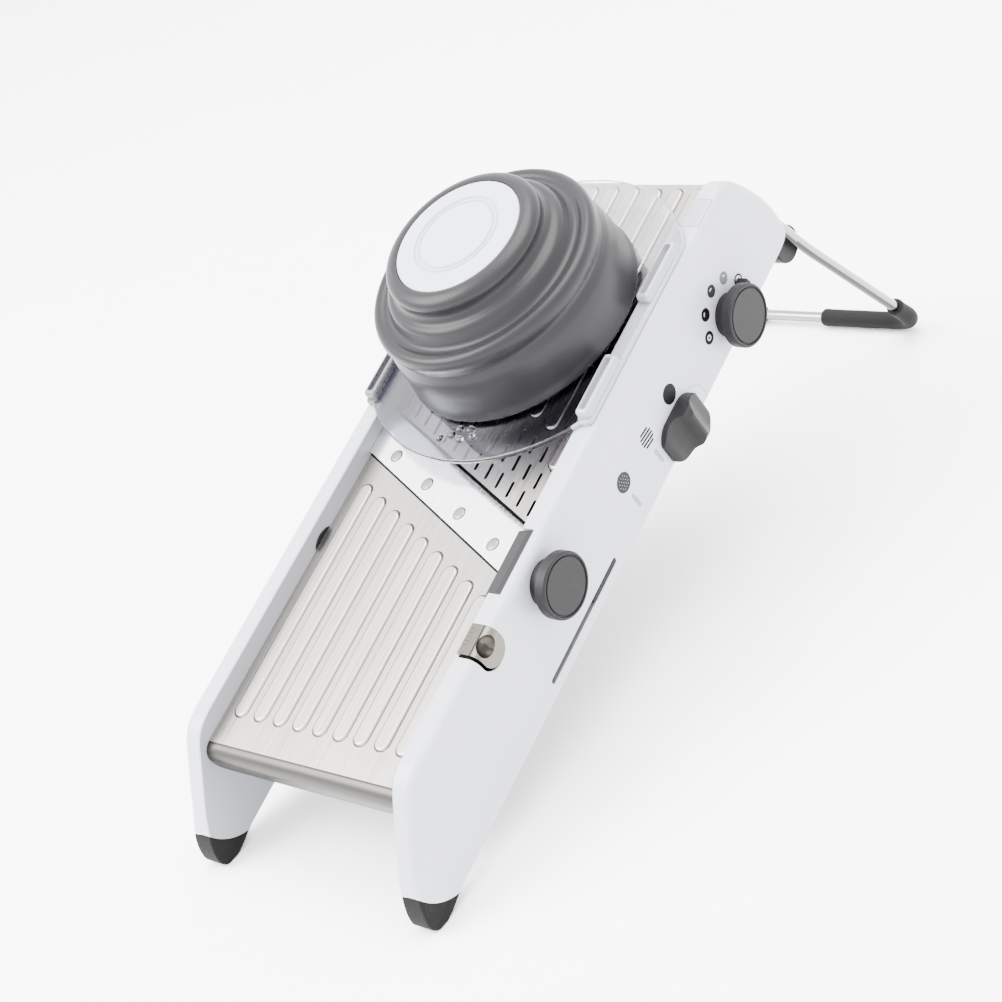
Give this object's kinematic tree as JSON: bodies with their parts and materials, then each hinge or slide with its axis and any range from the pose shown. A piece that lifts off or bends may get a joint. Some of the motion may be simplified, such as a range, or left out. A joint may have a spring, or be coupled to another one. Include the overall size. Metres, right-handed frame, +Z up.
{
  "type": "mandoline slicer",
  "caption": "Inclined adjustable slicer with ribbed steel decks, slanted blade, clear sliding food carriage with bell pusher, side dials and folding wire stand.",
  "frame": {"origin": "centre of the bounding box's footprint, on the table under the feet", "axes": "+X to the right across the slicer, +Y from the rubber feet up towards the wire stand, +Z up"},
  "size_m": [0.1508, 0.446, 0.2043],
  "materials": {
    "white_plastic": "satin moulded",
    "grey_plastic": "fine moulded texture, soft sheen",
    "dark_plastic": "moulded",
    "soft_rubber": "matt",
    "brushed_steel": "brushed along the deck",
    "polished_steel": "polished",
    "wire_steel": "drawn and polished",
    "clear_plastic": "clear polished"
  },
  "bodies": {
    "frame": {"right_rail": "white_plastic", "left_rail": "white_plastic", "right_foot_cap": "soft_rubber", "left_foot_cap": "soft_rubber", "right_rail_insert": "white_plastic", "left_rail_insert": "white_plastic", "front_bridge": "white_plastic", "middle_bridge": "white_plastic", "rear_bridge": "white_plastic", "run_out_deck": "brushed_steel", "slicing_blade": "polished_steel", "blade_rivet_1": "brushed_steel", "blade_rivet_2": "brushed_steel", "blade_rivet_3": "brushed_steel", "blade_rivet_4": "brushed_steel", "blade_grip": "grey_plastic", "blade_stop": "dark_plastic", "run_in_hinge_rod": "wire_steel"},
    "run_in": {"run_in_deck": "brushed_steel"},
    "comb": {"julienne_comb": "polished_steel"},
    "dial": {"thickness_dial": "grey_plastic"},
    "slider": {"julienne_slider": "grey_plastic"},
    "blade_knob": {"blade_knob": "grey_plastic"},
    "lock_bar": {"blade_lock_bar": "dark_plastic"},
    "release": {"release_tab": "brushed_steel"},
    "carriage": {"food_carriage": "clear_plastic"},
    "pusher": {"pusher_bell": "grey_plastic", "pusher_cap": "white_plastic", "prong_plate": "clear_plastic"},
    "stand": {"stand_wire": "wire_steel", "right_stand_sleeve": "soft_rubber", "left_stand_sleeve": "soft_rubber", "right_hinge_arm": "grey_plastic", "left_hinge_arm": "grey_plastic", "right_hinge_pin": "wire_steel", "left_hinge_pin": "wire_steel"}
  },
  "joints": [
    {"name": "carriage_slide", "type": "slide", "parent": "frame", "child": "carriage", "axis": [0, -0.9461, -0.3239], "range_m": [-0.005, 0.125]},
    {"name": "pusher_lift", "type": "slide", "parent": "carriage", "child": "pusher", "axis": [0, -0.3239, 0.9461], "range_m": [0, 0.028], "stiffness_N_per_m": 60, "springref_m": -0.02},
    {"name": "dial_turn", "type": "hinge", "parent": "frame", "child": "dial", "pos_m": [-0.00585, 0.06316, 0.11055], "axis": [1, 0, 0], "range_deg": [0, 151]},
    {"name": "run_in_tilt", "type": "hinge", "parent": "frame", "child": "run_in", "pos_m": [-0.00585, 0.09471, 0.15116], "axis": [1, 0, 0], "range_deg": [0, 3.3]},
    {"name": "slider_move", "type": "slide", "parent": "frame", "child": "slider", "axis": [0, -0.9461, -0.3239], "range_m": [0, 0.047]},
    {"name": "comb_rise", "type": "slide", "parent": "run_in", "child": "comb", "axis": [0, -0.3239, 0.9461], "range_m": [0, 0.005]},
    {"name": "blade_knob_turn", "type": "hinge", "parent": "frame", "child": "blade_knob", "pos_m": [-0.00585, -0.09812, 0.08271], "axis": [1, 0, 0], "range_deg": [0, 250]},
    {"name": "lock_bar_move", "type": "slide", "parent": "frame", "child": "lock_bar", "axis": [0, -0.9461, -0.3239], "range_m": [0, 0.04]},
    {"name": "release_press", "type": "slide", "parent": "frame", "child": "release", "axis": [0, -0.9461, -0.3239], "range_m": [0, 0.0012], "stiffness_N_per_m": 300, "springref_m": -0.0005},
    {"name": "stand_fold", "type": "hinge", "parent": "frame", "child": "stand", "pos_m": [-0.00585, 0.10643, 0.13234], "axis": [-1, 0, 0], "range_deg": [0, 101]}
  ],
  "couplings": [
    {"joint": "run_in_tilt", "follows": "dial_turn", "ratio": 0.021854},
    {"joint": "comb_rise", "follows": "slider_move", "ratio": 0.10638},
    {"joint": "lock_bar_move", "follows": "blade_knob_turn", "m_per_rad": 0.0091673}
  ]
}
